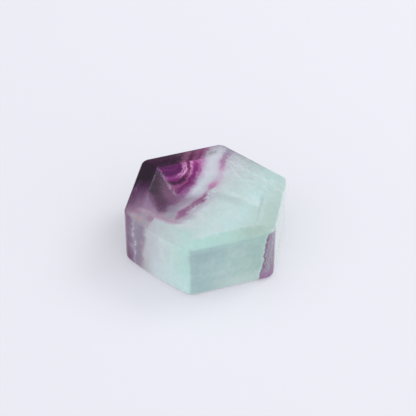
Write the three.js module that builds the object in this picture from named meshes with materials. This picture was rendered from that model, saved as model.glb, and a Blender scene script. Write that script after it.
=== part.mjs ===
// A palm stone of banded fluorite, ground and polished by hand into a thick hexagonal tablet.
// Six upright walls meet in softened corners, a shallow bevel runs round the table on top,
// and the flat base is rounded off where it meets the walls.
// Millimetres, +Z up. The origin is the centre of the base, on the plane that the stone rests on.

import * as THREE from "three";
import { ConvexGeometry } from "three/addons/geometries/ConvexGeometry.js";

// Driving dimensions
const TABLE_HEIGHT = 11.1; // from the base to the flat table
const RIM_HEIGHT = 10.55; // from the base to the rim, where the bevel meets the walls
const CORNER_RADIUS = 1.8; // the upright corners, seen from above
const RIM_RADIUS = 0.35; // the turn from wall to bevel
const TABLE_RADIUS = 0.3; // the softening between bevel and table, taken off the width
const TABLE_CORNER_RADIUS = 0.5; // the table's corners, seen from above
const BASE_RADIUS = 0.7; // the turn from wall to base

// The walls in turn, anticlockwise from above. Each has the direction that it faces, in degrees
// from +X, its distance from the middle, the width of its bevel, and how far its middle swells
// out past a straight line between its corners.
const WALLS = [
  { faces: 30, distance: 12.9, bevel: 3.2, swell: 0 },
  { faces: 90, distance: 13.05, bevel: 3.0, swell: 0 },
  { faces: 150, distance: 13.1, bevel: 2.7, swell: 0 },
  { faces: 210, distance: 12.85, bevel: 2.3, swell: 0.45 },
  { faces: 270, distance: 13.0, bevel: 1.75, swell: 0 },
  { faces: 330, distance: 13.15, bevel: 3.3, swell: 0 },
];

const CORNER_STEPS = 10; // straight pieces in each rounded corner
const EDGE_STEPS = 6; // straight pieces in each rounded edge
const SWELL_STEPS = 8; // straight pieces along a swelling wall

// The point where the walls a and b would meet if both stood `inset` further in.
function meetingPoint(a, b, insetA, insetB) {
  const angleA = THREE.MathUtils.degToRad(a.faces);
  const angleB = THREE.MathUtils.degToRad(b.faces);
  const reachA = a.distance - insetA;
  const reachB = b.distance - insetB;
  const spread = Math.sin(angleB - angleA);
  const x = (reachA * Math.sin(angleB) - reachB * Math.sin(angleA)) / spread;
  const y = (reachB * Math.cos(angleA) - reachA * Math.cos(angleB)) / spread;
  return new THREE.Vector2(x, y);
}

// One level outline of the stone at height z: the walls moved in by insetOf(wall), with corners
// rounded to the given radius. The points run anticlockwise.
function outline(z, insetOf, radius) {
  const points = [];
  WALLS.forEach((wall, index) => {
    const next = WALLS[(index + 1) % WALLS.length];
    const centre = meetingPoint(wall, next, insetOf(wall) + radius, insetOf(next) + radius);
    const start = THREE.MathUtils.degToRad(wall.faces);
    const turn = THREE.MathUtils.euclideanModulo(next.faces - wall.faces, 360);
    for (let step = 0; step <= CORNER_STEPS; step += 1) {
      const angle = start + (THREE.MathUtils.degToRad(turn) * step) / CORNER_STEPS;
      const x = centre.x + radius * Math.cos(angle);
      const y = centre.y + radius * Math.sin(angle);
      points.push(new THREE.Vector3(x, y, z));
    }
    points.push(...swellingWall(z, next, index, insetOf, radius));
  });
  return points;
}

// The points along the wall after corner `index`, if it swells: a shallow curve between the ends
// of its two corners.
function swellingWall(z, wall, index, insetOf, radius) {
  if (wall.swell === 0) {
    return [];
  }
  const before = WALLS[index];
  const after = WALLS[(index + 2) % WALLS.length];
  const facing = THREE.MathUtils.degToRad(wall.faces);
  const outward = new THREE.Vector2(Math.cos(facing), Math.sin(facing));
  const inset = insetOf(wall) + radius;
  const from = meetingPoint(before, wall, insetOf(before) + radius, inset);
  const to = meetingPoint(wall, after, inset, insetOf(after) + radius);
  const points = [];
  for (let step = 1; step < SWELL_STEPS; step += 1) {
    const share = step / SWELL_STEPS;
    const proud = radius + 4 * wall.swell * share * (1 - share);
    const place = from.clone().lerp(to, share).addScaledVector(outward, proud);
    points.push(new THREE.Vector3(place.x, place.y, z));
  }
  return points;
}

// The rounded turn from the walls to the base, as a stack of outlines.
function baseEdge() {
  const points = [];
  for (let step = 0; step <= EDGE_STEPS; step += 1) {
    const angle = (Math.PI / 2) * (step / EDGE_STEPS);
    const inset = BASE_RADIUS * (1 - Math.cos(angle));
    const z = BASE_RADIUS * (1 - Math.sin(angle));
    points.push(...outline(z, () => inset, CORNER_RADIUS - inset));
  }
  return points;
}

// The rounded turn from the walls to the bevel.
function rimEdge() {
  const points = [];
  for (let step = 0; step <= EDGE_STEPS; step += 1) {
    const angle = (Math.PI / 2) * (step / EDGE_STEPS);
    const inset = RIM_RADIUS * (1 - Math.cos(angle));
    const z = RIM_HEIGHT - RIM_RADIUS * (1 - Math.sin(angle));
    points.push(...outline(z, () => inset, CORNER_RADIUS - inset));
  }
  return points;
}

// The flat table and the soft turn from it to the bevel.
function tableEdge() {
  const slopeOf = (wall) => (TABLE_HEIGHT - RIM_HEIGHT) / wall.bevel;
  const drop = 0.25 * TABLE_RADIUS * Math.min(...WALLS.map(slopeOf));
  return [
    ...outline(TABLE_HEIGHT, (wall) => wall.bevel + TABLE_RADIUS, TABLE_CORNER_RADIUS),
    ...outline(TABLE_HEIGHT - drop, (wall) => wall.bevel, TABLE_CORNER_RADIUS),
  ];
}

// Moves a geometry so that the middle of its outline stands over the origin, base at z = 0.
function centreOnBase(geometry) {
  geometry.computeBoundingBox();
  const middle = geometry.boundingBox.getCenter(new THREE.Vector3());
  geometry.translate(-middle.x, -middle.y, -geometry.boundingBox.min.z);
  return geometry;
}

const fluorite = new THREE.MeshStandardMaterial({
  color: 0xb4d6d2,
  roughness: 0.12,
  metalness: 0,
  transparent: true,
  opacity: 0.6,
});

// The whole stone is the convex body that wraps its outlines.
const stone = new THREE.Mesh(
  centreOnBase(new ConvexGeometry([...baseEdge(), ...rimEdge(), ...tableEdge()])),
  fluorite,
);
stone.name = "fluorite_hexagon";

const part = new THREE.Group();
part.add(stone);

export default part;
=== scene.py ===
"""A palm stone of banded fluorite, cut and polished into a thick hexagonal tablet.

The stone is cut from a rough block one facet at a time, as at a lapidary's wheel, and its corners and
edges are then softened. Its growth bands, healed cracks and clouds are one procedural material.
"""

import math

import bmesh
import bpy
from bpy.props import FloatProperty, FloatVectorProperty, PointerProperty
from bpy.types import Operator, Panel, PropertyGroup
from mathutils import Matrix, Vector


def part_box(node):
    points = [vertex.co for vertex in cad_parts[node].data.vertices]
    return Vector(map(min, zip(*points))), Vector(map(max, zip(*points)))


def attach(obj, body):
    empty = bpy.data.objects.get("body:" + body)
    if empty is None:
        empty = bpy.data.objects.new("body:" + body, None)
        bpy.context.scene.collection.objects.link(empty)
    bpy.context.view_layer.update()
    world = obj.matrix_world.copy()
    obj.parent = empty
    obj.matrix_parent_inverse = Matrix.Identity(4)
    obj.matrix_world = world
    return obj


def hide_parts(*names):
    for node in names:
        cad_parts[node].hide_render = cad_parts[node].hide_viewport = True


bl_info = {
    "name": "Fluorite Hexagon",
    "version": (1, 0, 0),
    "blender": (4, 5, 0),
    "location": "View3D > Sidebar > Fluorite",
    "description": "A polished hexagonal tablet of banded fluorite on a plain stage",
    "category": "Object",
}

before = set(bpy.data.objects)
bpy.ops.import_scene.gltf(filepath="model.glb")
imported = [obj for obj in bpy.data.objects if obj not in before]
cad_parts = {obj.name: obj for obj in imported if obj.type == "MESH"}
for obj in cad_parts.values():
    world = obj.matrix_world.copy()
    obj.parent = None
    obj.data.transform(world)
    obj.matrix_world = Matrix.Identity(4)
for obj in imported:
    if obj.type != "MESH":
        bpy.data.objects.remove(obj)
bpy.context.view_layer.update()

MM = 0.001
STONE_NODE = "fluorite_hexagon"
STONE_LOW, STONE_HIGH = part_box(STONE_NODE)

# The directions that the walls face, and that some corners lie in, in degrees anticlockwise from +X.
BACK_RIGHT, BACK, BACK_LEFT, FRONT_LEFT, FRONT, FRONT_RIGHT = range(30, 360, 60)
RIGHT_CORNER, BACK_LEFT_CORNER, FRONT_LEFT_CORNER = 0, 120, 240

# The walls in turn: the direction that each faces, its distance from the middle, the width of its
# bevel, and how far its middle swells, in millimetres.
WALLS = (
    (BACK_RIGHT, 12.9, 3.2, 0.0),
    (BACK, 13.05, 3.0, 0.0),
    (BACK_LEFT, 13.1, 2.7, 0.0),
    (FRONT_LEFT, 12.85, 2.3, 0.45),
    (FRONT, 13.0, 1.75, 0.0),
    (FRONT_RIGHT, 13.15, 3.3, 0.0),
)
BLOCK_SIDE = 40.0  # of the rough block, mm
BEVEL_RISE = 0.55  # from the rim up to the table, mm
SWELL_HALF_CHORD = 7.0  # half the length that a swelling wall spans, mm
SWELL_FACETS = 7
HALF_CORNER_TURN = math.radians(30)
CORNER_SEGMENTS, BASE_SEGMENTS, TABLE_SEGMENTS, RIM_SEGMENTS = 10, 6, 3, 5
SMOOTH_BELOW = math.radians(25)
WELD = 1e-7  # points closer than this, in metres, are one

# A face is taken by the height of its normal, from -1 to 1.
UPRIGHT_MOST = 0.2
BEVEL_LEAST = 0.9
LEVEL_LEAST = 0.9999
SHORTEST_UPRIGHT = 1.0  # an upright edge rises at least this far, mm

# The camera stands this far round from the front, and this high.
VIEW_TURN = math.radians(18.9)
VIEW_RISE = math.radians(39.5)
VIEW_DISTANCE = 0.24  # m
VIEW_PIXELS_PER_MM = 5.753  # at the middle of the rim, in a picture 416 pixels wide
PICTURE_PIXELS = 416
RIM_MIDDLE_PIXELS = (206.4, 194.8)  # where the middle of the rim falls in the picture
SENSOR_WIDTH = 36.0  # mm

# The surround is brightest from in front and above, and dimmer behind and low down.
SOFT_LIGHT_FROM = Vector((-0.25, -0.6, 0.75))
SOFT_LIGHT_RANGE = (0.28, 1.4)
SOFT_LIGHT_EDGE = (-0.35, 0.6)  # where it starts and ends to brighten, as a cosine
SURROUND_COLOUR = (246, 246, 252)
FLOOR_GLOW = (0.275, 0.278, 0.3)  # keeps the shadow on the floor as pale as on a light table
FLOOR_GAP = 0.05  # from the stone down to the floor, mm
LAMP_PLACE = (0.42, 0.08, 0.42)
LAMP_SIZE = 0.35

SHEEN = 0.03  # the light that the polish adds to every colour
LIGHT_RETURNED = (0.89, 0.89, 0.93)
WALL_LIGHT_RETURNED = (0.74, 0.725, 0.775)

POLISH_ROUGHNESS = 0.14
FLUORITE_IOR = 1.434
CLEARNESS = 0.35  # the share of the light that goes through
DEPTH_TINT = (205, 240, 236)
DEPTH_TINT_DENSITY = 3


def srgb(red, green, blue):
    """A colour given as 0 to 255 in sRGB, as linear values."""
    linear = []
    for value in (red, green, blue):
        share = value / 255
        linear.append(share / 12.92 if share <= 0.04045 else ((share + 0.055) / 1.055) ** 2.4)
    return tuple(linear)


def shown(red, green, blue, returned=LIGHT_RETURNED):
    """The base colour that shows as an sRGB colour on the stone, which has a sheen over it and keeps
    a share of the light that enters."""
    wanted = srgb(red, green, blue)
    return tuple(min(max(value - SHEEN, 0) / share, 1) for value, share in zip(wanted, returned))


def on_wall(red, green, blue):
    """As shown, on a wall, which returns less of the light than the table does."""
    return shown(red, green, blue, WALL_LIGHT_RETURNED)


class CutSettings(PropertyGroup):
    corner_radius: FloatProperty(
        name="Corner radius",
        description="Radius of the upright corners, seen from above",
        default=1.8 * MM,
        unit="LENGTH",
    )
    rim_radius: FloatProperty(
        name="Rim radius",
        description="How far the turn from wall to bevel is rounded",
        default=0.35 * MM,
        unit="LENGTH",
    )
    base_radius: FloatProperty(
        name="Base radius",
        description="How far the turn from wall to base is rounded",
        default=0.7 * MM,
        unit="LENGTH",
    )
    table_softening: FloatProperty(
        name="Table softening",
        description="How far the turn from bevel to table is rounded",
        default=0.3 * MM,
        unit="LENGTH",
    )


class StageSettings(PropertyGroup):
    floor_size: FloatProperty(
        name="Floor size",
        description="Side of the square floor",
        default=3.0,
        unit="LENGTH",
    )
    floor_colour: FloatVectorProperty(
        name="Floor colour",
        description="Colour of the plain pale floor",
        default=(0.435, 0.437, 0.456),
        subtype="COLOR",
        size=3,
        min=0,
        max=1,
    )
    lamp_power: FloatProperty(
        name="Lamp power",
        description="Power of the window light",
        default=1.2,
        unit="POWER",
    )


def select_edges(obj, wanted):
    """In edit mode, selects the edges for which wanted(edge) is true."""
    bpy.ops.mesh.select_mode(type="EDGE")
    bpy.ops.mesh.select_all(action="DESELECT")
    shape = bmesh.from_edit_mesh(obj.data)
    for edge in shape.edges:
        edge.select_set(wanted(edge))
    shape.select_flush_mode()
    bmesh.update_edit_mesh(obj.data)


def grind_flat(point, normal):
    """Cuts the block along a plane and closes the cut, as a flat lap does. Works in edit mode."""
    bpy.ops.mesh.select_all(action="SELECT")
    bpy.ops.mesh.bisect(
        plane_co=point,
        plane_no=normal,
        use_fill=True,
        clear_inner=False,
        clear_outer=True,
        threshold=WELD,
    )


def facing(degrees):
    """A level direction, as a vector."""
    return Vector((math.cos(math.radians(degrees)), math.sin(math.radians(degrees)), 0))


def wall_facets(degrees, distance, swell):
    """The flat cuts that make one wall, each as its direction in degrees and its distance in mm."""
    if not swell:
        return [(degrees, distance)]
    bow_radius = (SWELL_HALF_CHORD**2 + swell**2) / (2 * swell)
    half_turn = math.degrees(math.asin(SWELL_HALF_CHORD / bow_radius))
    facets = []
    for index in range(SWELL_FACETS):
        turn = half_turn * (2 * index / (SWELL_FACETS - 1) - 1)
        reach = (distance + swell - bow_radius) * math.cos(math.radians(turn)) + bow_radius
        facets.append((degrees + turn, reach))
    return facets


def grind_walls():
    for degrees, distance, _, swell in WALLS:
        for turned, reach in wall_facets(degrees, distance, swell):
            outward = facing(turned)
            grind_flat(outward * reach * MM, outward)


def grind_bevels():
    for degrees, distance, bevel, swell in WALLS:
        slope = math.atan2(BEVEL_RISE, bevel)
        for turned, reach in wall_facets(degrees, distance, swell):
            outward = facing(turned)
            rim = outward * reach * MM
            rim.z = STONE_HIGH.z - BEVEL_RISE * MM
            grind_flat(rim, outward * math.sin(slope) + Vector((0, 0, math.cos(slope))))


def is_upright(face):
    return abs(face.normal.z) < UPRIGHT_MOST


def is_bevel(face):
    return BEVEL_LEAST < face.normal.z < LEVEL_LEAST


def is_table(face):
    return face.normal.z >= LEVEL_LEAST


def is_base(face):
    return face.normal.z < -BEVEL_LEAST


def between(first, second):
    """A test for edges that join a face of one kind to a face of another."""

    def wanted(edge):
        if len(edge.link_faces) != 2:
            return False
        a, b = edge.link_faces
        return (first(a) and second(b)) or (first(b) and second(a))

    return wanted


def is_upright_corner(edge):
    """True for the six upright edges between walls, and false within a swelling wall."""
    low, high = edge.verts
    if abs(low.co.z - high.co.z) < SHORTEST_UPRIGHT * MM:
        return False
    return edge.calc_face_angle(0) > HALF_CORNER_TURN


def centre_over_base():
    """In edit mode, moves the stone level so that the middle of its outline is over the CAD node's."""
    shape = bmesh.from_edit_mesh(bpy.context.object.data)
    for axis in (0, 1):
        places = [vert.co[axis] for vert in shape.verts]
        wanted = (STONE_LOW[axis] + STONE_HIGH[axis]) / 2
        move = [0, 0, 0]
        move[axis] = wanted - (min(places) + max(places)) / 2
        bpy.ops.transform.translate(value=move)


def soften(radius, segments):
    bpy.ops.mesh.bevel(
        offset_type="OFFSET",
        offset=radius,
        segments=segments,
        profile=0.5,
        clamp_overlap=False,
        affect="EDGES",
    )


class FLUORITE_OT_cut_stone(Operator):
    """Cut the stone from a rough block, one facet at a time, and polish it"""

    bl_idname = "fluorite.cut_stone"
    bl_label = "Cut the stone"

    def execute(self, context):
        cut = context.scene.fluorite_cut
        bpy.ops.object.select_all(action="DESELECT")
        height = STONE_HIGH.z - STONE_LOW.z
        bpy.ops.mesh.primitive_cube_add(
            size=1,
            location=(0, 0, STONE_LOW.z + height / 2),
            scale=(BLOCK_SIDE * MM, BLOCK_SIDE * MM, height),
        )
        stone = context.object
        stone.name = "polished_stone"
        bpy.ops.object.transform_apply(location=True, rotation=True, scale=True)

        bpy.ops.object.mode_set(mode="EDIT")
        grind_walls()
        grind_bevels()
        select_edges(stone, is_upright_corner)
        soften(cut.corner_radius * math.tan(HALF_CORNER_TURN), CORNER_SEGMENTS)
        select_edges(stone, between(is_upright, is_base))
        soften(cut.base_radius, BASE_SEGMENTS)
        select_edges(stone, between(is_bevel, is_table))
        soften(cut.table_softening, TABLE_SEGMENTS)
        select_edges(stone, between(is_upright, is_bevel))
        soften(cut.rim_radius, RIM_SEGMENTS)
        bpy.ops.mesh.select_all(action="SELECT")
        bpy.ops.mesh.remove_doubles(threshold=WELD)
        bpy.ops.mesh.normals_make_consistent(inside=False)
        centre_over_base()
        bpy.ops.object.mode_set(mode="OBJECT")

        bpy.ops.object.shade_smooth_by_angle(angle=SMOOTH_BELOW)
        bpy.ops.object.modifier_add(type="WEIGHTED_NORMAL")
        polish = stone.modifiers[-1]
        polish.keep_sharp = True
        polish.weight = 100
        bpy.ops.object.modifier_apply(modifier=polish.name)
        stone.data.materials.clear()
        stone.data.materials.append(fluorite_material())
        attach(stone, "root")
        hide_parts(STONE_NODE)
        return {"FINISHED"}


# ---- materials ----


def feed(tree, socket, value):
    """Sets a socket to a plain value, or links it to a reading or another node's output."""
    if value is None:
        return
    if isinstance(value, Reading):
        value = value.socket
    if isinstance(value, bpy.types.NodeSocket):
        tree.links.new(value, socket)
    elif socket.type == "RGBA" and len(value) == 3:
        socket.default_value = (*value, 1)
    else:
        socket.default_value = value


def added(tree, kind, *values, **settings):
    """Adds a node with its settings, and feeds its inputs in order. None leaves an input as it is."""
    node = tree.nodes.new("ShaderNode" + kind)
    for name, value in settings.items():
        setattr(node, name, value)
    for socket, value in zip(node.inputs, values):
        feed(tree, socket, value)
    return node


class Reading:
    """A number read at each point of the stone. The signs of arithmetic make new readings of it."""

    def __init__(self, tree, socket):
        self.tree = tree
        self.socket = socket

    def worked(self, operation, *values):
        return Reading(self.tree, added(self.tree, "Math", *values, operation=operation).outputs[0])

    def __add__(self, other):
        return self.worked("ADD", self, other)

    def __sub__(self, other):
        return self.worked("SUBTRACT", self, other)

    def __rsub__(self, other):
        return self.worked("SUBTRACT", other, self)

    def __mul__(self, other):
        return self.worked("MULTIPLY", self, other)

    def __abs__(self):
        return self.worked("ABSOLUTE", self)

    def most(self, other):
        return self.worked("MAXIMUM", self, other)

    def outside(self):
        """1 minus this reading: a mask turned inside out."""
        return 1.0 - self

    def power(self, exponent):
        return self.worked("POWER", self, exponent)

    def step(self, low, high, to_low=0.0, to_high=1.0):
        """A soft step: to_low up to low, then smoothly to to_high at high. low may be the larger."""
        if low > high:
            low, high, to_low, to_high = high, low, to_high, to_low
        values = (self, low, high, to_low, to_high)
        node = added(self.tree, "MapRange", *values, interpolation_type="SMOOTHSTEP")
        return Reading(self.tree, node.outputs[0])

    def window(self, out_low, in_low, in_high, out_high):
        """1 from in_low to in_high, and 0 outside out_low to out_high."""
        return self.step(out_low, in_low) * self.step(out_high, in_high)

    def line(self, centre, half_width, soft):
        """A line where the reading is at centre: 1 within half_width of it, and 0 past soft more."""
        return abs(self - centre).step(half_width + soft, half_width)

    def curve(self, *points):
        """Follows a smooth curve through (reading, result) points, in rising order."""
        reads, results = zip(*points)
        first, last = reads[0], reads[-1]
        low, high = min(results), max(results)
        node = added(self.tree, "FloatCurve", None, (self - first) * (1 / (last - first)))
        node.mapping.extend = "EXTRAPOLATED"
        node.mapping.use_clip = False
        dots = node.mapping.curves[0].points
        while len(dots) < len(points):
            dots.new(0.5, 0.5)
        for dot, (read, result) in zip(dots, points):
            dot.location = ((read - first) / (last - first), (result - low) / (high - low))
        node.mapping.update()
        return Reading(self.tree, node.outputs["Value"]) * (high - low) + low

    def colours(self, stops, seen=shown):
        """A ramp over (reading, red, green, blue) stops, in rising order, each as it is seen."""
        first, last = stops[0][0], stops[-1][0]
        node = added(self.tree, "ValToRGB", (self - first) * (1 / (last - first)))
        elements = node.color_ramp.elements
        while len(elements) < len(stops):
            elements.new(1.0)
        for element, (read, *colour) in zip(elements, stops):
            element.position = (read - first) / (last - first)
            element.color = (*seen(*colour), 1)
        return node.outputs["Color"]


class Finish:
    """A material's node tree, with short calls that add one node each."""

    def __init__(self, material):
        material.use_nodes = True
        self.tree = material.node_tree
        self.principled = self.tree.nodes["Principled BSDF"]

    def put(self, name, value):
        """Sets an input of the Principled BSDF."""
        feed(self.tree, self.principled.inputs[name], value)

    def place(self, turn):
        """The place on the piece in mm, in axes turned about Z."""
        coordinates = added(self.tree, "TexCoord").outputs["Object"]
        return added(self.tree, "Mapping", coordinates, None, (0, 0, turn), (1 / MM,) * 3).outputs[0]

    def split(self, vector):
        return [Reading(self.tree, socket) for socket in added(self.tree, "SeparateXYZ", vector).outputs]

    def noise(self, vector, per_mm, detail=2.0, roughness=0.5, stretch=(1, 1, 1)):
        """Soft noise from 0 to 1, with about per_mm lumps to the millimetre."""
        if stretch != (1, 1, 1):
            squeeze = [1 / value for value in stretch]
            vector = added(self.tree, "Mapping", vector, None, None, squeeze).outputs[0]
        return added(self.tree, "TexNoise", vector, None, per_mm, detail, roughness)

    def cloud(self, *grain, **stretch):
        return Reading(self.tree, self.noise(*grain, **stretch).outputs["Fac"])

    def striped(self, across, along, per_mm, stretch):
        """Soft noise drawn out into stripes that follow the lines where across keeps its value."""
        place = added(self.tree, "CombineXYZ", across, along * (1 / stretch))
        return self.cloud(place.outputs[0], per_mm, 3.0, 0.55)

    def wandered(self, vector, per_mm, reach, detail=2.0):
        """The place moved about by noise, so that what is drawn there has an uneven edge."""
        noise = self.noise(vector, per_mm, detail).outputs["Color"]
        middle = added(self.tree, "VectorMath", noise, (0.5,) * 3, operation="SUBTRACT").outputs[0]
        moved = added(self.tree, "VectorMath", middle, (reach,) * 3, vector, operation="MULTIPLY_ADD")
        return moved.outputs[0]

    def over(self, under, colour, share, blend="MIX"):
        """Lays a colour over another, where share is more than 0."""
        node = added(self.tree, "Mix", share, data_type="RGBA", blend_type=blend)
        feed(self.tree, node.inputs[6], under)
        feed(self.tree, node.inputs[7], colour)
        return node.outputs[2]

    def over_number(self, under, value, share):
        """Lays a number over a reading, where share is more than 0."""
        return under * share.outside() + share * value


TABLE = STONE_HIGH.z / MM  # its height, mm

# The bands are laid out in mm, in axes turned about Z with the grain: right, back and deep, which is
# measured down from the table.
GRAIN_TURN = VIEW_TURN
RIM_DEPTHS = (0.4, 0.88)  # where bevel turns to wall, mm down from the table
FRONT_PLACES = (-4.0, -6.5)  # a wall forward of this is a front wall
GREENER_FORWARD = 0.6  # a mm forward makes the stone this much greener than a mm to the right
BAND_LEAN = 0.66  # how far the bands lean forward for each mm of depth
GROWTH_CENTRE = (-6.3, 7.4)
GROWTH_SQUASH = 0.59
RING_POWER = 2.35  # 2 is round; more is squarer
RING_END = (3.4, 5.6)  # where the rings give way to sheets, mm out

DARK_CORNER_REACH = 7.5  # from the middle back to the dark corner, along the wall on its left, mm

# The purple streak's course over the table, as (back, right).
STREAK_COURSE = (
    (-7.4, -5.35), (-6.5, -4.5), (-5.2, -3.85), (-4.3, -3.2),
    (-3.4, -2.2), (-1.5, -0.7), (0.5, 0.35), (2.3, 1.25),
    (4.2, 2.3), (7.0, 2.75), (9.0, 3.05), (11.5, 4.1),
)
# The streak's three swellings, as (back, half width, strength).
STREAK_SWELLINGS = (
    (-7.4, 0.3, 0.45), (-6.5, 0.65, 0.9), (-5.2, 0.95, 1.0), (-4.3, 0.75, 0.85),
    (-3.6, 0.8, 0.85), (-2.6, 0.95, 0.95), (-1.5, 0.55, 1.0), (-0.4, 0.4, 0.8),
    (0.5, 0.35, 0.6), (1.3, 0.6, 0.95), (2.3, 0.8, 0.9), (3.2, 0.7, 0.5),
    (4.6, 0.65, 0.35), (6.2, 0.6, 0.6), (8.2, 0.6, 0.95), (11.5, 0.8, 0.9),
)
STREAK_ZONE = 9.0  # where the streak lies among the growth zones, mm from the growth centre

# The healed crack beside the dark wedge, and the wedge's outer side, as (back, right).
CRACK_COURSE = (
    (-6.5, -6.7), (-4.0, -5.9), (-2.0, -5.0), (-0.7, -5.3),
    (0.5, -5.9), (2.2, -6.7), (4.0, -7.5), (6.4, -8.55),
    (8.0, -9.3),
)
WEDGE_SIDE = (
    (-7.0, -7.3), (-5.8, -8.1), (-4.4, -8.8), (-3.0, -9.3),
    (-1.0, -9.8), (1.0, -10.0), (4.0, -9.3), (6.8, -8.75),
)
WEDGE_CORE = ((-6.0, -7.4), (-3.0, -7.7), (-1.0, -8.4), (1.0, -9.0), (5.0, -8.8))

# Where the lavender foot of the wedge ends against the pale stone, and the light line within it, as
# (right, back).
HEM_COURSE = (
    (-14.0, -13.0), (-10.5, -11.5), (-9.7, -8.4), (-9.1, -7.2),
    (-8.7, -6.7), (-8.1, -6.9), (-7.2, -7.5), (-6.0, -8.1),
    (-4.0, -8.5),
)
LIGHT_LINE_COURSE = ((-12.0, -4.4), (-10.0, -5.3), (-9.0, -6.2), (-8.0, -7.0), (-6.5, -7.9), (-4.0, -8.3))

# The soft patches above the hem, as (right, back, radius, colour, share).
HEM_PATCHES = (
    (-6.1, -6.2, 1.2, (154, 157, 166), 0.65),
    (-5.8, -4.4, 1.4, (143, 141, 156), 0.5),
    (-12.3, -4.6, 1.3, (158, 122, 148), 0.6),
    (-12.5, -6.0, 1.0, (172, 168, 175), 0.6),
    (-11.5, -6.8, 1.1, (174, 157, 160), 0.65),
    (-10.6, -5.9, 0.9, (164, 158, 166), 0.6),
    (-10.5, -8.1, 1.2, (158, 154, 164), 0.7),
    (-9.4, -6.9, 1.0, (150, 126, 150), 0.8),
    (-12.2, -8.4, 0.9, (146, 140, 156), 0.6),
)

# Colours are in sRGB as they are seen, each after the reading that it belongs to. Here are the pale
# stone's at the front, by how far right: on the left-hand bevel and wall, and on the front ones.
LEFT_BEVEL_COLOURS = (
    (-10.4, 178, 178, 188), (-8.6, 182, 188, 194), (-7.6, 182, 194, 197),
    (-6.6, 184, 198, 201), (-5.7, 184, 201, 202), (-4.7, 184, 205, 204),
    (-3.7, 180, 209, 206), (-2.7, 176, 209, 205),
)
LEFT_WALL_COLOURS = (
    (-10.4, 186, 186, 193), (-9.4, 190, 196, 202), (-8.45, 194, 202, 207),
    (-7.5, 196, 211, 212), (-6.5, 190, 209, 208), (-5.5, 187, 212, 209),
    (-4.5, 184, 214, 210), (-2.9, 180, 215, 210),
)
FRONT_BEVEL_COLOURS = (
    (-3.6, 172, 207, 203), (0.0, 172, 206, 201), (4.0, 173, 204, 198),
    (7.0, 169, 192, 184), (11.0, 166, 188, 180),
)
# The front wall is darker and greyer than the left-hand wall: partly its own greyer stone, and partly
# painted shade, as it takes less light.
FRONT_WALL_COLOURS_WITH_SHADE = (
    (-2.5, 162, 186, 189), (1.0, 166, 190, 191), (5.0, 168, 192, 190),
    (8.9, 164, 188, 184), (12.0, 163, 187, 183),
)

# The left edge of the purple strip at the right-hand corner, as (depth below the table, place along X).
STRIP_EDGE = ((0.4, 6.8), (1.2, 6.5), (3.0, 6.15), (5.6, 5.9), (8.1, 5.6), (9.6, 5.25), (11.1, 5.1))

# The pale stone of the table, by how far right and forward a point lies.
TABLE_COLOURS = (
    (-4.0, 202, 205, 214), (1.0, 198, 206, 211), (4.0, 192, 208, 210),
    (6.5, 196, 216, 217), (9.5, 192, 217, 218), (12.0, 188, 210, 208),
    (15.0, 180, 198, 193), (18.0, 173, 190, 184),
)

# The purple bands and the white sheet beside them, by growth zone.
BAND_COLOURS = (
    (0.0, 126, 62, 122), (0.8, 114, 52, 110), (1.5, 98, 42, 96),
    (1.8, 138, 68, 132), (2.05, 198, 134, 188), (2.2, 160, 84, 150),
    (2.4, 220, 174, 210), (2.65, 184, 112, 168), (2.85, 122, 34, 104),
    (3.15, 106, 28, 88), (3.35, 160, 78, 142), (3.55, 218, 160, 196),
    (3.8, 186, 106, 164), (4.1, 148, 62, 132), (4.45, 146, 62, 132),
    (4.7, 166, 98, 155), (5.05, 188, 134, 178), (5.5, 196, 168, 198),
    (6.1, 203, 198, 213), (6.8, 206, 209, 220), (8.6, 206, 210, 219),
    (11.5, 202, 207, 215),
)

# The same in front, where the bands lose their light lines and close in a dark cup.
CUP_COLOURS = (
    (0.0, 100, 46, 100), (1.5, 96, 42, 94), (2.1, 140, 70, 130),
    (2.5, 120, 52, 110), (2.8, 84, 40, 78), (3.1, 78, 38, 74),
    (3.4, 128, 66, 112), (3.65, 150, 80, 128), (4.0, 104, 48, 92),
    (4.4, 126, 62, 116), (4.8, 136, 78, 128), (5.2, 150, 102, 146),
    (5.8, 184, 164, 188), (6.8, 198, 206, 216), (8.6, 192, 194, 204),
    (11.5, 202, 209, 216),
)

# The same further forward, where the bands fade.
FADED_COLOURS = (
    (0.0, 112, 80, 110), (3.4, 124, 92, 122), (4.8, 132, 98, 130),
    (5.6, 140, 112, 140), (6.4, 152, 136, 157), (7.6, 160, 150, 168),
    (8.8, 176, 170, 184), (10.0, 188, 186, 197), (11.5, 196, 202, 209),
)

# The dark wedge and its darker core, by how far back a point lies.
WEDGE_COLOURS = (
    (-5.5, 138, 102, 134), (-4.0, 128, 89, 122), (-3.0, 120, 84, 118),
    (-1.0, 128, 96, 124), (0.5, 122, 90, 116), (3.0, 108, 88, 106),
    (6.0, 98, 80, 98),
)
WEDGE_CORE_COLOURS = (
    (-5.4, 112, 84, 110), (-3.0, 94, 68, 92), (-1.0, 90, 70, 86),
    (0.5, 74, 64, 74), (3.0, 78, 64, 77), (5.5, 86, 70, 86),
)

# The healed crack beside the wedge, and the lavender veil round its foot, in the same way.
HEALED_COLOURS = ((0.0, 178, 148, 174), (5.0, 142, 118, 146))
VEIL_COLOURS = (
    (-7.5, 170, 155, 172), (-5.0, 162, 142, 164), (-3.0, 148, 122, 150),
    (0.0, 116, 100, 126),
)

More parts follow.
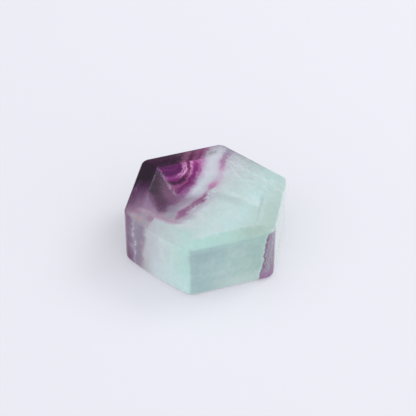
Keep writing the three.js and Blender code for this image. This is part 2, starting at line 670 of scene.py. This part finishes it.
# The dark corner's two bevels: along the back by how far right a point lies, and down the left by its
# distance from the corner.
BACK_BEVEL_COLOURS = (
    (-11.0, 70, 51, 69), (-9.4, 70, 49, 68), (-7.0, 66, 43, 64),
    (-4.9, 66, 42, 64), (-4.5, 108, 70, 94), (-3.8, 138, 93, 121),
    (-3.3, 116, 68, 100), (-3.0, 88, 38, 76), (-2.7, 118, 65, 102),
    (-2.2, 138, 86, 120), (-1.6, 124, 68, 108), (-1.3, 130, 74, 116),
    (-1.0, 156, 114, 148), (-0.7, 154, 116, 148), (-0.4, 176, 168, 182),
    (0.6, 194, 198, 207), (2.0, 200, 206, 214), (3.0, 200, 208, 215),
)
DARK_BEVEL_COLOURS = (
    (0.0, 62, 47, 62), (6.0, 57, 43, 58), (7.6, 80, 55, 79),
    (9.2, 106, 75, 106), (11.2, 128, 98, 128), (13.4, 146, 117, 143),
    (15.5, 160, 134, 157),
)

# The purple strip at the left-hand corner, by how far right a point lies.
LEFT_STRIP_COLOURS = (
    (-14.2, 128, 88, 122), (-13.3, 126, 92, 124), (-12.8, 140, 116, 142),
    (-12.3, 156, 146, 164), (-11.6, 146, 136, 158), (-11.0, 142, 128, 152),
    (-10.6, 158, 144, 158), (-10.3, 166, 162, 170),
)

# The stone beside the purple streak, and the streak, by how far back a point lies.
STREAK_SIDE_COLOURS = ((-6.5, 168, 158, 174), (-3.5, 170, 162, 178), (-2.0, 178, 178, 190))
STREAK_COLOURS = (
    (-7.0, 148, 104, 140), (-4.5, 143, 99, 136), (-1.5, 142, 98, 132),
    (0.6, 160, 118, 152), (2.0, 184, 130, 170), (4.0, 196, 160, 190),
    (7.0, 184, 138, 176), (9.4, 168, 126, 162), (11.5, 154, 130, 162),
)

# The edge of the table right of the streak, by how far right a point lies.
BACK_EDGE_COLOURS = (
    (3.0, 168, 166, 180), (5.0, 172, 175, 187), (7.0, 176, 185, 193),
    (9.0, 178, 194, 197), (12.0, 168, 198, 190),
)

# The purple strip at the right-hand corner, by the distance from its left edge.
RIGHT_STRIP_COLOURS = (
    (0.0, 146, 118, 147), (0.25, 134, 102, 137), (0.5, 160, 152, 166),
    (0.8, 146, 130, 152), (1.1, 162, 158, 170), (1.6, 152, 140, 157),
    (2.0, 142, 120, 144),
)


class BandedFluorite(Finish):
    """The stone's finish. Each method lays one feature over what is laid so far. Places, widths and
    reaches are in mm, and shares go from 0 to 1."""

    def __init__(self, material):
        super().__init__(material)
        self.spot = self.place(GRAIN_TURN)
        self.right, self.back, height = self.split(self.spot)
        self.deep = TABLE - height
        self.on_wall = self.deep.step(*RIM_DEPTHS)
        self.front_wall = self.on_wall * self.back.step(*FRONT_PLACES)
        self.not_front_wall = self.front_wall.outside()

        loose = self.wandered(self.spot, 0.32, 1.4)
        loose = self.wandered(loose, 1.3, 0.75)
        self.wide, far, _ = self.split(loose)
        self.leaned = far - self.deep * BAND_LEAN
        self.near_right, near_far, _ = self.split(self.wandered(self.spot, 1.5, 0.5))
        self.near_back = near_far - self.deep * BAND_LEAN
        self.above_hem = self.near_back - self.near_right.curve(*HEM_COURSE)
        self.off_streak = self.near_right - self.near_back.curve(*STREAK_COURSE)
        self.grain = self.cloud(self.spot, 0.9, 4.0, 0.6)
        self.speck = self.cloud(self.spot, 3.4, 3.0, 0.7)
        self.fibres = self.cloud(self.spot, 1.6, 3.0, 0.6, stretch=(1, 1.7, 1.2))
        self.mist = self.cloud(self.spot, 0.42, 3.0, 0.55)
        self.patch = self.cloud(self.spot, 0.75, 2.0, 0.55)
        self.drawn = self.striped(self.right, self.back, 1.1, 5)
        self.from_corner = self.towards(FRONT_LEFT_CORNER) + DARK_CORNER_REACH + (self.grain - 0.5) * 1.6
        self.zone = self.growth_zones()
        self.stripes = self.striped(self.zone, self.leaned, 2.4, 9)

    def towards(self, degrees):
        """How far a point lies in a level direction, given in degrees from +X, in mm."""
        turned = math.radians(degrees) + GRAIN_TURN
        return self.right * math.cos(turned) + self.back * math.sin(turned)

    def growth_zones(self):
        """How far out in the growth zones a point lies, in mm: rings round the growth centre, open to
        the back and the left, then sheets that run beside the streak."""
        to_right = (self.wide - GROWTH_CENTRE[0]).most(0.0)
        to_front = ((GROWTH_CENTRE[1] - self.leaned) * GROWTH_SQUASH).most(0.0)
        ring = (to_right.power(RING_POWER) + to_front.power(RING_POWER)).power(1 / RING_POWER)
        beside = self.wide - self.leaned.curve(*STREAK_COURSE) + STREAK_ZONE
        sheet = ring.step(*RING_END)
        return ring * sheet.outside() + beside * sheet

    def lay(self, colour, share):
        """Lays a colour over all that is laid so far, where share is more than 0."""
        self.colour = self.over(self.colour, colour, share)

    def ground(self):
        """The pale stone: whiter by the streak, and greener to the right and the front."""
        table = (self.wide - self.leaned * GREENER_FORWARD).colours(TABLE_COLOURS)
        pale = self.mist.step(0.48, 0.66) * 0.4
        table = self.over(table, shown(206, 213, 218), pale * self.wide.step(9.0, 4.0))
        green = self.grain.step(0.5, 0.68) * 0.35
        table = self.over(table, shown(186, 208, 203), green * self.wide.step(2.0, 7.0))
        left_bevel = self.right.colours(LEFT_BEVEL_COLOURS)
        front_bevel = self.right.colours(FRONT_BEVEL_COLOURS)
        # The front wall's ramp holds painted shade, as well as its own greyer tone.
        walls = self.right.colours(LEFT_WALL_COLOURS + FRONT_WALL_COLOURS_WITH_SHADE, on_wall)
        left_reach, front_reach, right_reach = map(self.towards, (FRONT_LEFT, FRONT, FRONT_RIGHT))
        past_left_corner = (front_reach - left_reach).step(-1.3, 1.1)
        past_right_corner = (right_reach - front_reach).step(-0.3, 0.3)
        on_left = left_reach.step(8.8, 11.0) * past_left_corner.outside()
        self.colour = self.over(table, left_bevel, on_left)
        on_front = (front_reach + (self.grain - 0.5)).step(10.7, 11.5)
        on_front = on_front * past_left_corner * past_right_corner.outside()
        self.lay(front_bevel, on_front)
        cloudy = self.over(walls, on_wall(200, 208, 213), self.mist.step(0.45, 0.7) * 0.25)
        dull = self.mist.step(0.5, 0.34) * self.right.step(-4.0, -2.0)
        cloudy = self.over(cloudy, on_wall(154, 180, 183), dull * 0.35)
        self.lay(cloudy, self.front_wall)
        self.wall_tints_and_painted_light(right_reach, past_right_corner)

    def wall_tints_and_painted_light(self, right_reach, past_right_corner):
        """The walls' tints and painted light: greener below the rim with a dimmer band under it, paler
        towards the base as painted light from the bright floor, a painted glow along the foot, and the
        right-hand wall near-white, partly a painted reflection.
        """
        front = self.front_wall * self.right.step(-3.6, -2.6)
        left = self.front_wall * self.right.window(-10.4, -8.4, -3.6, -2.6)
        ragged_deep = self.deep + (self.grain - 0.5) * 1.2
        below_rim = ragged_deep.step(2.1, 1.0) * front * self.right.step(10.0, 3.0, 0.3, 1.0)
        self.lay(on_wall(169, 203, 199), below_rim * 0.5)
        dim = ragged_deep.window(1.4, 2.2, 3.0, 4.4) * self.right.step(3.6, 0.2)
        self.lay(on_wall(152, 178, 181), dim * front * 0.6)
        # Painted light: the lower left-hand wall is made paler, as if lit by the bright floor.
        low = self.deep.step(4.0, 9.2)
        self.lay(on_wall(206, 234, 231), low * left * 0.5)
        lilac = self.patch.step(0.5, 0.64) * left * self.right.step(-5.0, -7.0)
        self.lay(on_wall(190, 193, 205), lilac * 0.45)
        # Painted light: a paler patch low on the front wall, as if lit by the bright floor.
        floor_lit_low_patch = self.deep.step(7.6, 9.6) * self.right.step(1.5, 4.5)
        self.lay(on_wall(196, 212, 210), floor_lit_low_patch * front * 0.55)
        # Painted light: a near-white glow along the foot of the walls, lifting the contact shade there.
        foot = self.deep.step(10.2, 11.0) * self.front_wall * self.right.step(-11.0, -9.0)
        self.lay(on_wall(236, 250, 248), foot * 0.8)
        # The right-hand wall is painted near-white: partly its own pale mint, and partly a painted
        # reflection of the bright surround.
        right_wall_and_reflection = self.on_wall * past_right_corner * right_reach.step(11.5, 12.5)
        pale = self.over(on_wall(212, 221, 223), on_wall(196, 214, 211), self.mist.step(0.44, 0.62) * 0.8)
        self.lay(pale, right_wall_and_reflection * 0.9)

    def growth_bands(self):
        """The purple bands round the growth centre, and the white sheet between them and the streak."""
        bands = self.zone.colours(BAND_COLOURS)
        cup = self.zone.colours(CUP_COLOURS)
        faded = self.zone.colours(FADED_COLOURS)
        broken = self.stripes.step(0.5, 0.58) * self.zone.window(1.7, 2.3, 4.8, 5.8)
        bands = self.over(bands, shown(126, 52, 112), broken * 0.7)
        glints = self.zone.line(2.3, 0.1, 0.35).most(self.zone.line(3.55, 0.05, 0.3))
        glints = glints * self.speck.step(0.48, 0.62) * self.leaned.step(3.6, 5.4)
        bands = self.over(bands, shown(236, 200, 226), glints * 0.7)
        lit = self.stripes.step(0.47, 0.4) * self.zone.window(2.6, 3.4, 4.6, 5.4)
        bands = self.over(bands, shown(196, 120, 172), lit * 0.5)
        streaky = self.stripes.step(0.56, 0.44) * self.zone.step(1.7, 1.2)
        bands = self.over(bands, shown(84, 36, 86), streaky * 0.7)
        bands = self.over(bands, cup, self.leaned.step(5.6, 3.6))
        hazy = self.stripes.step(0.42, 0.6) * self.leaned.step(2.6, 0.6) * self.zone.step(6.4, 4.6)
        bands = self.over(bands, shown(140, 104, 142), hazy * 0.6)
        bands = self.over(bands, faded, self.leaned.step(0.4, -2.0))
        share = self.zone.step(11.0, 9.0) * self.leaned.step(-8.6, -6.6) * self.not_front_wall
        share = share * self.above_hem.step(-0.3, 0.1).most(self.near_right.step(-6.0, -4.0))
        self.lay(bands, share)

    def wedge(self):
        """The dark wedge between the healed crack and its own outer side."""
        right, back = self.near_right, self.near_back
        from_crack = right - back.curve(*CRACK_COURSE)
        from_side = right - back.curve(*WEDGE_SIDE)
        ahead = back.step(0.2, -2.0)
        edge = self.over_number(from_crack.step(0.12, -0.12), from_crack.step(1.0, -1.2), ahead)
        outer = self.over_number(from_side.step(-0.15, 0.15), from_side.step(-0.35, 0.35), ahead)
        body = edge * outer * back.step(-7.5, -5.2) * self.not_front_wall
        wedge = back.colours(WEDGE_COLOURS)
        core_colour = back.colours(WEDGE_CORE_COLOURS)
        from_core = right - back.curve(*WEDGE_CORE)
        left_part = from_core.step(-1.5, -0.4).most(back.step(-1.6, 0.4))
        core_share = from_core.step(1.9, 0.2) * left_part * back.step(-6.8, -4.9)
        wedge = self.over(wedge, core_colour, core_share)
        wedge = self.over(wedge, shown(112, 106, 116), self.speck.step(0.54, 0.66) * 0.35)
        wedge = self.over(wedge, shown(64, 52, 66), self.speck.step(0.46, 0.36) * 0.3)
        self.lay(wedge, body * 0.95)
        lip = from_side.line(0.1, 0.04, 0.22) * back.window(0.0, 1.5, 4.6, 6.0)
        self.lay(shown(118, 114, 126), lip * self.speck.step(0.35, 0.6) * 0.8)
        ragged = from_crack + (self.speck - 0.5) * 0.9
        healed = ragged.line(0.0, 0.06, 0.42) * back.window(-1.6, 0.2, 6.4, 7.2) * self.not_front_wall
        healed_colour = back.colours(HEALED_COLOURS)
        broken = self.grain.step(0.36, 0.52) * (self.fibres.step(0.34, 0.56) * 0.7 + 0.3)
        self.lay(healed_colour, healed * broken * 0.8)
        specks = (from_crack - 0.25).line(0.0, 0.2, 0.5) * self.speck.step(0.56, 0.66)
        specks = specks * back.window(-2.0, 0.0, 4.5, 6.0)
        self.lay(shown(206, 188, 206), specks * 0.8)
        self.hem(from_side)

    def patch_at(self, right, back, radius):
        """A soft round patch with an uneven edge."""
        across = self.near_right - right
        along = self.near_back - back
        return (across * across + along * along).step(radius**2, radius**2 * 0.05)

    def hem(self, from_side):
        """The lavender veil round the foot of the wedge, down to a pinkish line."""
        right, back = self.near_right, self.near_back
        veil_colour = back.colours(VEIL_COLOURS)
        narrow = (from_side + 0.45).line(0.0, 0.15, 0.5)
        beside = self.over_number(narrow, from_side.step(0.8, -0.6), back.step(-0.8, -3.4))
        beside = beside * back.step(2.4, 0.4)
        bevel = self.towards(BACK_LEFT).step(10.9, 11.6) * back.step(-5.2, -3.6)
        below = back.step(-4.6, -6.4) * right.step(-3.0, -5.4)
        at_left = right.step(-8.4, -9.6)
        hem = self.over_number(self.above_hem.step(-0.2, 0.2), self.above_hem.step(-1.5, 1.0), at_left)
        veil = (beside * bevel.outside()).most(below) * hem * self.not_front_wall
        self.lay(veil_colour, veil * 0.9)
        drawn = self.drawn.step(0.5, 0.66) * back.step(-5.4, -3.6)
        self.lay(shown(152, 134, 162), drawn * veil * 0.6)
        for *place, tint, share in HEM_PATCHES:
            patch = self.patch_at(*place) * self.above_hem.step(-0.4, 0.4)
            self.lay(shown(*tint), patch * self.not_front_wall * share)
        pink = self.above_hem.line(0.3, 0.1, 0.35) * right.window(-9.2, -8.4, -6.6, -4.6)
        pink = pink * self.not_front_wall
        self.lay(shown(164, 130, 158), pink * 0.6)
        line = (back - right.curve(*LIGHT_LINE_COURSE)).line(0.0, 0.15, 0.7)
        line = line * right.window(-12.4, -10.8, -6.0, -4.2)
        line = line * self.not_front_wall * self.grain.step(0.3, 0.52)
        self.lay(shown(178, 158, 178), line * 0.7)

    def dark_corner(self):
        """The bevel round the dark corner: black near it, and purple further along."""
        back_reach = self.towards(BACK)
        left_reach = self.towards(BACK_LEFT)
        wavy = (self.grain - 0.5) * 0.3
        on_back = (back_reach + wavy).step(9.2, 9.35)
        on_back = on_back * (back_reach - self.towards(BACK_RIGHT)).step(0.0, 0.3)
        on_left = (left_reach + wavy).step(9.85, 10.0)
        on_left = on_left * (left_reach - self.towards(FRONT_LEFT)).step(-0.4, 0.4)
        ragged = (self.speck - 0.5) * 0.9 + (self.grain - 0.5) * 0.8
        back_side = (self.near_right - (self.near_back - 9.0) * 0.25 + ragged).colours(BACK_BEVEL_COLOURS)
        left_side = self.from_corner.colours(DARK_BEVEL_COLOURS)
        drawn = self.drawn.step(0.5, 0.68) * self.from_corner.step(5.5, 8.5)
        left_side = self.over(left_side, shown(150, 126, 154), drawn * 0.4)
        outer = left_reach.step(11.0, 12.2) * self.from_corner.line(10.8, 1.0, 2.6)
        left_side = self.over(left_side, shown(80, 48, 76), outer * 0.45)
        self.lay(left_side, on_left * self.from_corner.step(16.0, 13.5))
        fibrous = self.fibres.step(0.5, 0.68) * back_reach.step(9.4, 10.2)
        fibrous = fibrous * self.right.step(-9.0, -5.0, 0.22, 0.4)
        back_side = self.over(back_side, shown(106, 72, 100), fibrous)
        dim = self.speck.step(0.5, 0.34) * self.right.step(-1.0, -2.4)
        back_side = self.over(back_side, shown(54, 40, 56), dim * 0.5)
        nearer_back = (back_reach - left_reach).step(-0.4, 0.1)
        # Painted highlight: a lighter lavender band along the outer edge of the back bevel.
        outer = back_reach.step(10.6, 12.6) * self.right.step(-6.5, -3.5, 0.06, 0.3)
        back_side = self.over(back_side, shown(162, 116, 148), outer)
        self.lay(back_side, on_back * nearer_back * self.right.step(3.4, 1.6))

    def left_corner(self):
        """The purple zone that stands at the left-hand corner, with a healed crack down its wall."""
        side = self.wide + self.deep * 0.07 + (self.speck - 0.5) * 0.5
        share = side.step(-9.9, -10.6) * self.deep.step(0.35, 1.0) * self.from_corner.step(11.0, 14.0)
        tint = (side + (self.speck - 0.5) * 1.2).colours(LEFT_STRIP_COLOURS, on_wall)
        low = self.deep.step(6.8, 9.6) * side.step(-11.0, -12.6)
        tint = self.over(tint, on_wall(114, 72, 109), low * 0.8)
        specks = self.speck.step(0.54, 0.68) * side.step(-11.8, -12.6)
        tint = self.over(tint, on_wall(120, 78, 114), specks * 0.5)
        self.lay(tint, share)
        split_line = (self.wide - self.deep * 0.01 + (self.speck - 0.5) * 0.5).line(-12.5, 0.03, 0.2)
        split_line = split_line * self.front_wall * self.grain.step(0.3, 0.5)
        split_line = split_line * self.deep.step(1.0, 5.0, 0.3, 0.8)
        self.lay(on_wall(198, 196, 206), split_line)

    def streak(self):
        """The thin purple streak, in three swellings."""
        back = self.near_back
        half = back.curve(*[(place, half) for place, half, _ in STREAK_SWELLINGS])
        strength = back.curve(*[(place, share) for place, _, share in STREAK_SWELLINGS])
        off_line = self.off_streak
        ends = back.step(-8.0, -7.2) * self.not_front_wall
        glow = off_line.line(0.35, 0.5, 1.6) * strength * ends
        self.lay(shown(184, 168, 187), glow * 0.5)
        beside = off_line.window(0.0, 0.6, 1.0, 3.6) * back.step(1.0, -1.2)
        beside = beside * ends * (self.mist.step(0.62, 0.42) * 0.4 + 0.6)
        beside_colour = back.colours(STREAK_SIDE_COLOURS)
        self.lay(beside_colour, beside * 0.85)
        ragged = (self.speck - 0.5) * 0.8 + (self.grain - 0.5) * 1.2
        share = (abs(off_line) - half + ragged).step(0.35, -0.5) * strength * ends
        tint = back.colours(STREAK_COLOURS)
        self.lay(tint, share)

    def fractures(self):
        """Pale and shaded lines where inner cleavage planes catch the light."""
        ledge = self.right.curve((2.0, 0.6), (4.0, -0.3), (5.5, -1.0), (7.0, -2.0), (9.0, -3.3))
        above = self.leaned - ledge
        along = self.right.window(2.6, 4.6, 8.8, 9.4)
        bright = above.line(0.0, 0.15, 0.8) * along
        shade = above.line(-1.4, 0.3, 1.5) * self.right.window(-0.6, 3.2, 4.8, 7.8)
        side = self.leaned.curve((-8.0, 8.8), (-5.5, 9.2), (-3.0, 9.6), (-0.6, 10.0))
        slant = (self.right - side).line(0.1, 0.12, 0.8) * self.leaned.window(-9.0, -6.4, -2.0, 0.2)
        patch = above.window(-0.9, 0.4, 0.8, 2.6)
        patch = patch * (self.right - side).step(0.0, -0.5) * self.right.step(6.8, 8.6)
        on_table = self.deep.step(0.07, 0.005)
        self.lay(shown(177, 193, 193), shade * on_table * 0.6)
        self.lay(shown(208, 230, 232), patch * on_table * 0.7)
        self.lay(shown(208, 223, 222), bright * on_table * 0.65)
        right_side = (self.right - side).step(0.0, 1.5) * self.leaned.step(0.0, -3.6)
        right_side = right_side * (1.0 - self.back.step(-7.0, -11.0) * 0.5)
        self.lay(shown(178, 200, 196), right_side * self.on_wall.outside() * 0.65)
        self.lay(shown(168, 182, 182), slant * on_table * 0.6)

    def crackle(self):
        """Fine pale crackle beside the streak and along the back, and the darker rim there."""
        near_streak = self.off_streak.line(1.0, 0.3, 0.7) * self.near_back.window(-6.4, -4.4, 0.4, 1.8)
        at_back = self.towards(BACK_RIGHT)
        along_edge = self.striped(at_back, self.towards(BACK_LEFT_CORNER), 1.5, 2.2)
        along_back = at_back.line(8.6, 1.2, 2.4) * self.zone.step(9.3, 11.0)
        off_wall = self.on_wall.outside()
        flecks = near_streak * self.speck.step(0.5, 0.62)
        self.lay(shown(218, 224, 231), flecks * off_wall * 0.6)
        dull = along_edge.step(0.5, 0.3) * along_back * self.wide.step(13.0, 8.0)
        self.lay(shown(180, 187, 198), dull * off_wall * 0.4)
        bright = along_edge.step(0.5, 0.72) * along_back
        self.lay(shown(220, 228, 234), bright * off_wall * 0.45)
        ridge = at_back + (self.grain - 0.5) * 1.4
        right_of_streak = self.zone.step(9.5, 11.5) * off_wall
        filament = ridge.line(9.3, 0.05, 0.4) * right_of_streak * self.speck.step(0.36, 0.56)
        self.lay(shown(220, 229, 233), filament * 0.5)
        edge = (at_back + (along_edge - 0.5) * 3.0).step(10.6, 12.2)
        edge = edge * self.right.window(1.4, 3.4, 8.6, 12.4) * off_wall
        tint = self.right.colours(BACK_EDGE_COLOURS)
        self.lay(tint, edge * (self.grain.step(0.35, 0.65) * 0.35 + 0.4))
        shattered = at_back.line(10.2, 0.9, 1.2) * self.right.window(1.6, 3.0, 5.0, 9.0) * off_wall
        self.lay(shown(220, 226, 234), shattered * self.speck.step(0.52, 0.64) * 0.55)
        self.lay(shown(160, 164, 178), shattered * self.speck.step(0.48, 0.38) * 0.6)

    def mottle(self):
        """Fine light and dark mottling all through the stone, and the darker rim at the back."""
        brightness = self.fibres.step(0.28, 0.72, 0.975, 1.025) * self.patch.step(0.3, 0.7, 0.98, 1.02)
        self.colour = self.over(self.colour, brightness, 1.0, "MULTIPLY")
        back_rim = (self.towards(BACK_RIGHT) + (self.grain - 0.5) * 0.3).step(12.35, 12.6)
        back_rim = back_rim * self.right.step(11.0, 6.5) * self.deep.step(1.6, 0.9)
        self.lay(shown(112, 110, 126), back_rim * 0.75)

    def right_strip(self):
        """The purple strip that stands at the right-hand front corner, below the rim."""
        edge = self.deep.curve(*STRIP_EDGE)
        across = self.towards(RIGHT_CORNER) - edge + (self.grain - 0.5) * 0.9 + (self.speck - 0.5) * 0.3
        low = self.towards(FRONT).step(11.2, 11.8) * self.deep.step(0.6, 0.95)
        tint = (across + (self.fibres - 0.5) * 1.6).colours(RIGHT_STRIP_COLOURS, on_wall)
        tint = self.over(tint, on_wall(152, 112, 150), self.deep.step(8.4, 10.0) * 0.75)
        self.lay(on_wall(182, 210, 200), across.line(-0.25, 0.05, 0.3) * low * 0.5)
        self.lay(tint, across.step(-0.12, 0.15) * low)


def fluorite_material():
    material = bpy.data.materials.new("banded fluorite")
    finish = BandedFluorite(material)
    finish.ground()
    finish.growth_bands()
    finish.wedge()
    finish.dark_corner()
    finish.left_corner()
    finish.streak()
    finish.fractures()
    finish.crackle()
    finish.mottle()
    finish.right_strip()
    finish.put("Base Color", finish.colour)
    finish.put("Roughness", POLISH_ROUGHNESS)
    finish.put("IOR", FLUORITE_IOR)
    finish.put("Transmission Weight", CLEARNESS)
    absorption = added(finish.tree, "VolumeAbsorption", srgb(*DEPTH_TINT), DEPTH_TINT_DENSITY)
    output = finish.tree.nodes["Material Output"]
    finish.tree.links.new(absorption.outputs[0], output.inputs["Volume"])
    return material


def floor_material(colour):
    material = bpy.data.materials.new("pale floor")
    finish = Finish(material)
    finish.put("Base Color", tuple(colour))
    finish.put("Roughness", 0.9)
    finish.put("Specular IOR Level", 0.1)
    finish.put("Emission Color", FLOOR_GLOW)
    finish.put("Emission Strength", 1.0)
    return material


def lay_floor(stage):
    bpy.ops.mesh.primitive_plane_add(size=stage.floor_size, location=(0, 0, -FLOOR_GAP * MM))
    floor = bpy.context.object
    floor.name = "floor"
    bpy.ops.object.transform_apply(location=True)
    floor.data.materials.append(floor_material(stage.floor_colour))


def light_surround(scene):
    world = bpy.data.worlds.new("soft surround")
    scene.world = world
    world.use_nodes = True
    tree = world.node_tree
    background = tree.nodes["Background"]
    feed(tree, background.inputs["Color"], srgb(*SURROUND_COLOUR))
    direction = added(tree, "TexCoord").outputs["Generated"]
    from_light = SOFT_LIGHT_FROM.normalized()
    facing_light = added(tree, "VectorMath", direction, from_light, operation="DOT_PRODUCT")
    brightness = Reading(tree, facing_light.outputs["Value"]).step(*SOFT_LIGHT_EDGE, *SOFT_LIGHT_RANGE)
    feed(tree, background.inputs["Strength"], brightness)


def hang_lamp(power):
    bpy.ops.object.light_add(type="AREA", location=LAMP_PLACE)
    lamp = bpy.context.object
    lamp.name = "window light"
    lamp.data.shape = "DISK"
    lamp.data.size = LAMP_SIZE
    lamp.data.energy = power
    lamp.rotation_euler = (-lamp.location).to_track_quat("-Z", "Y").to_euler()


def aim_camera(scene):
    level = math.cos(VIEW_RISE)
    towards = Vector((
        -math.sin(VIEW_TURN) * level,
        -math.cos(VIEW_TURN) * level,
        math.sin(VIEW_RISE),
    ))
    rim_middle = Vector((0, 0, STONE_HIGH.z - BEVEL_RISE * MM))
    bpy.ops.object.camera_add(location=rim_middle + towards * VIEW_DISTANCE)
    camera = bpy.context.object
    camera.rotation_euler = (-towards).to_track_quat("-Z", "Y").to_euler()
    camera.data.sensor_width = SENSOR_WIDTH
    focal_pixels = VIEW_PIXELS_PER_MM * VIEW_DISTANCE / MM
    camera.data.lens = focal_pixels * SENSOR_WIDTH / PICTURE_PIXELS
    half = PICTURE_PIXELS / 2
    camera.data.shift_x = (half - RIM_MIDDLE_PIXELS[0]) / PICTURE_PIXELS
    camera.data.shift_y = (RIM_MIDDLE_PIXELS[1] - half) / PICTURE_PIXELS
    scene.camera = camera


class FLUORITE_OT_lay_stage(Operator):
    """Lay the floor, hang the lights and set up the camera"""

    bl_idname = "fluorite.lay_stage"
    bl_label = "Lay the stage"

    def execute(self, context):
        stage = context.scene.fluorite_stage
        bpy.ops.object.select_all(action="DESELECT")
        lay_floor(stage)
        light_surround(context.scene)
        hang_lamp(stage.lamp_power)
        aim_camera(context.scene)
        context.scene.view_settings.view_transform = "Standard"
        return {"FINISHED"}


class FLUORITE_PT_sidebar(Panel):
    bl_idname = "FLUORITE_PT_sidebar"
    bl_label = "Fluorite hexagon"
    bl_space_type = "VIEW_3D"
    bl_region_type = "UI"
    bl_category = "Fluorite"

    def draw(self, context):
        layout = self.layout
        layout.operator(FLUORITE_OT_cut_stone.bl_idname)
        layout.operator(FLUORITE_OT_lay_stage.bl_idname)


CLASSES = (
    CutSettings,
    StageSettings,
    FLUORITE_OT_cut_stone,
    FLUORITE_OT_lay_stage,
    FLUORITE_PT_sidebar,
)


def register():
    for cls in CLASSES:
        bpy.utils.register_class(cls)
    bpy.types.Scene.fluorite_cut = PointerProperty(type=CutSettings)
    bpy.types.Scene.fluorite_stage = PointerProperty(type=StageSettings)


def unregister():
    del bpy.types.Scene.fluorite_stage
    del bpy.types.Scene.fluorite_cut
    for cls in reversed(CLASSES):
        bpy.utils.unregister_class(cls)


def main():
    register()
    bpy.ops.fluorite.cut_stone()
    bpy.ops.fluorite.lay_stage()


if __name__ == "__main__":
    main()
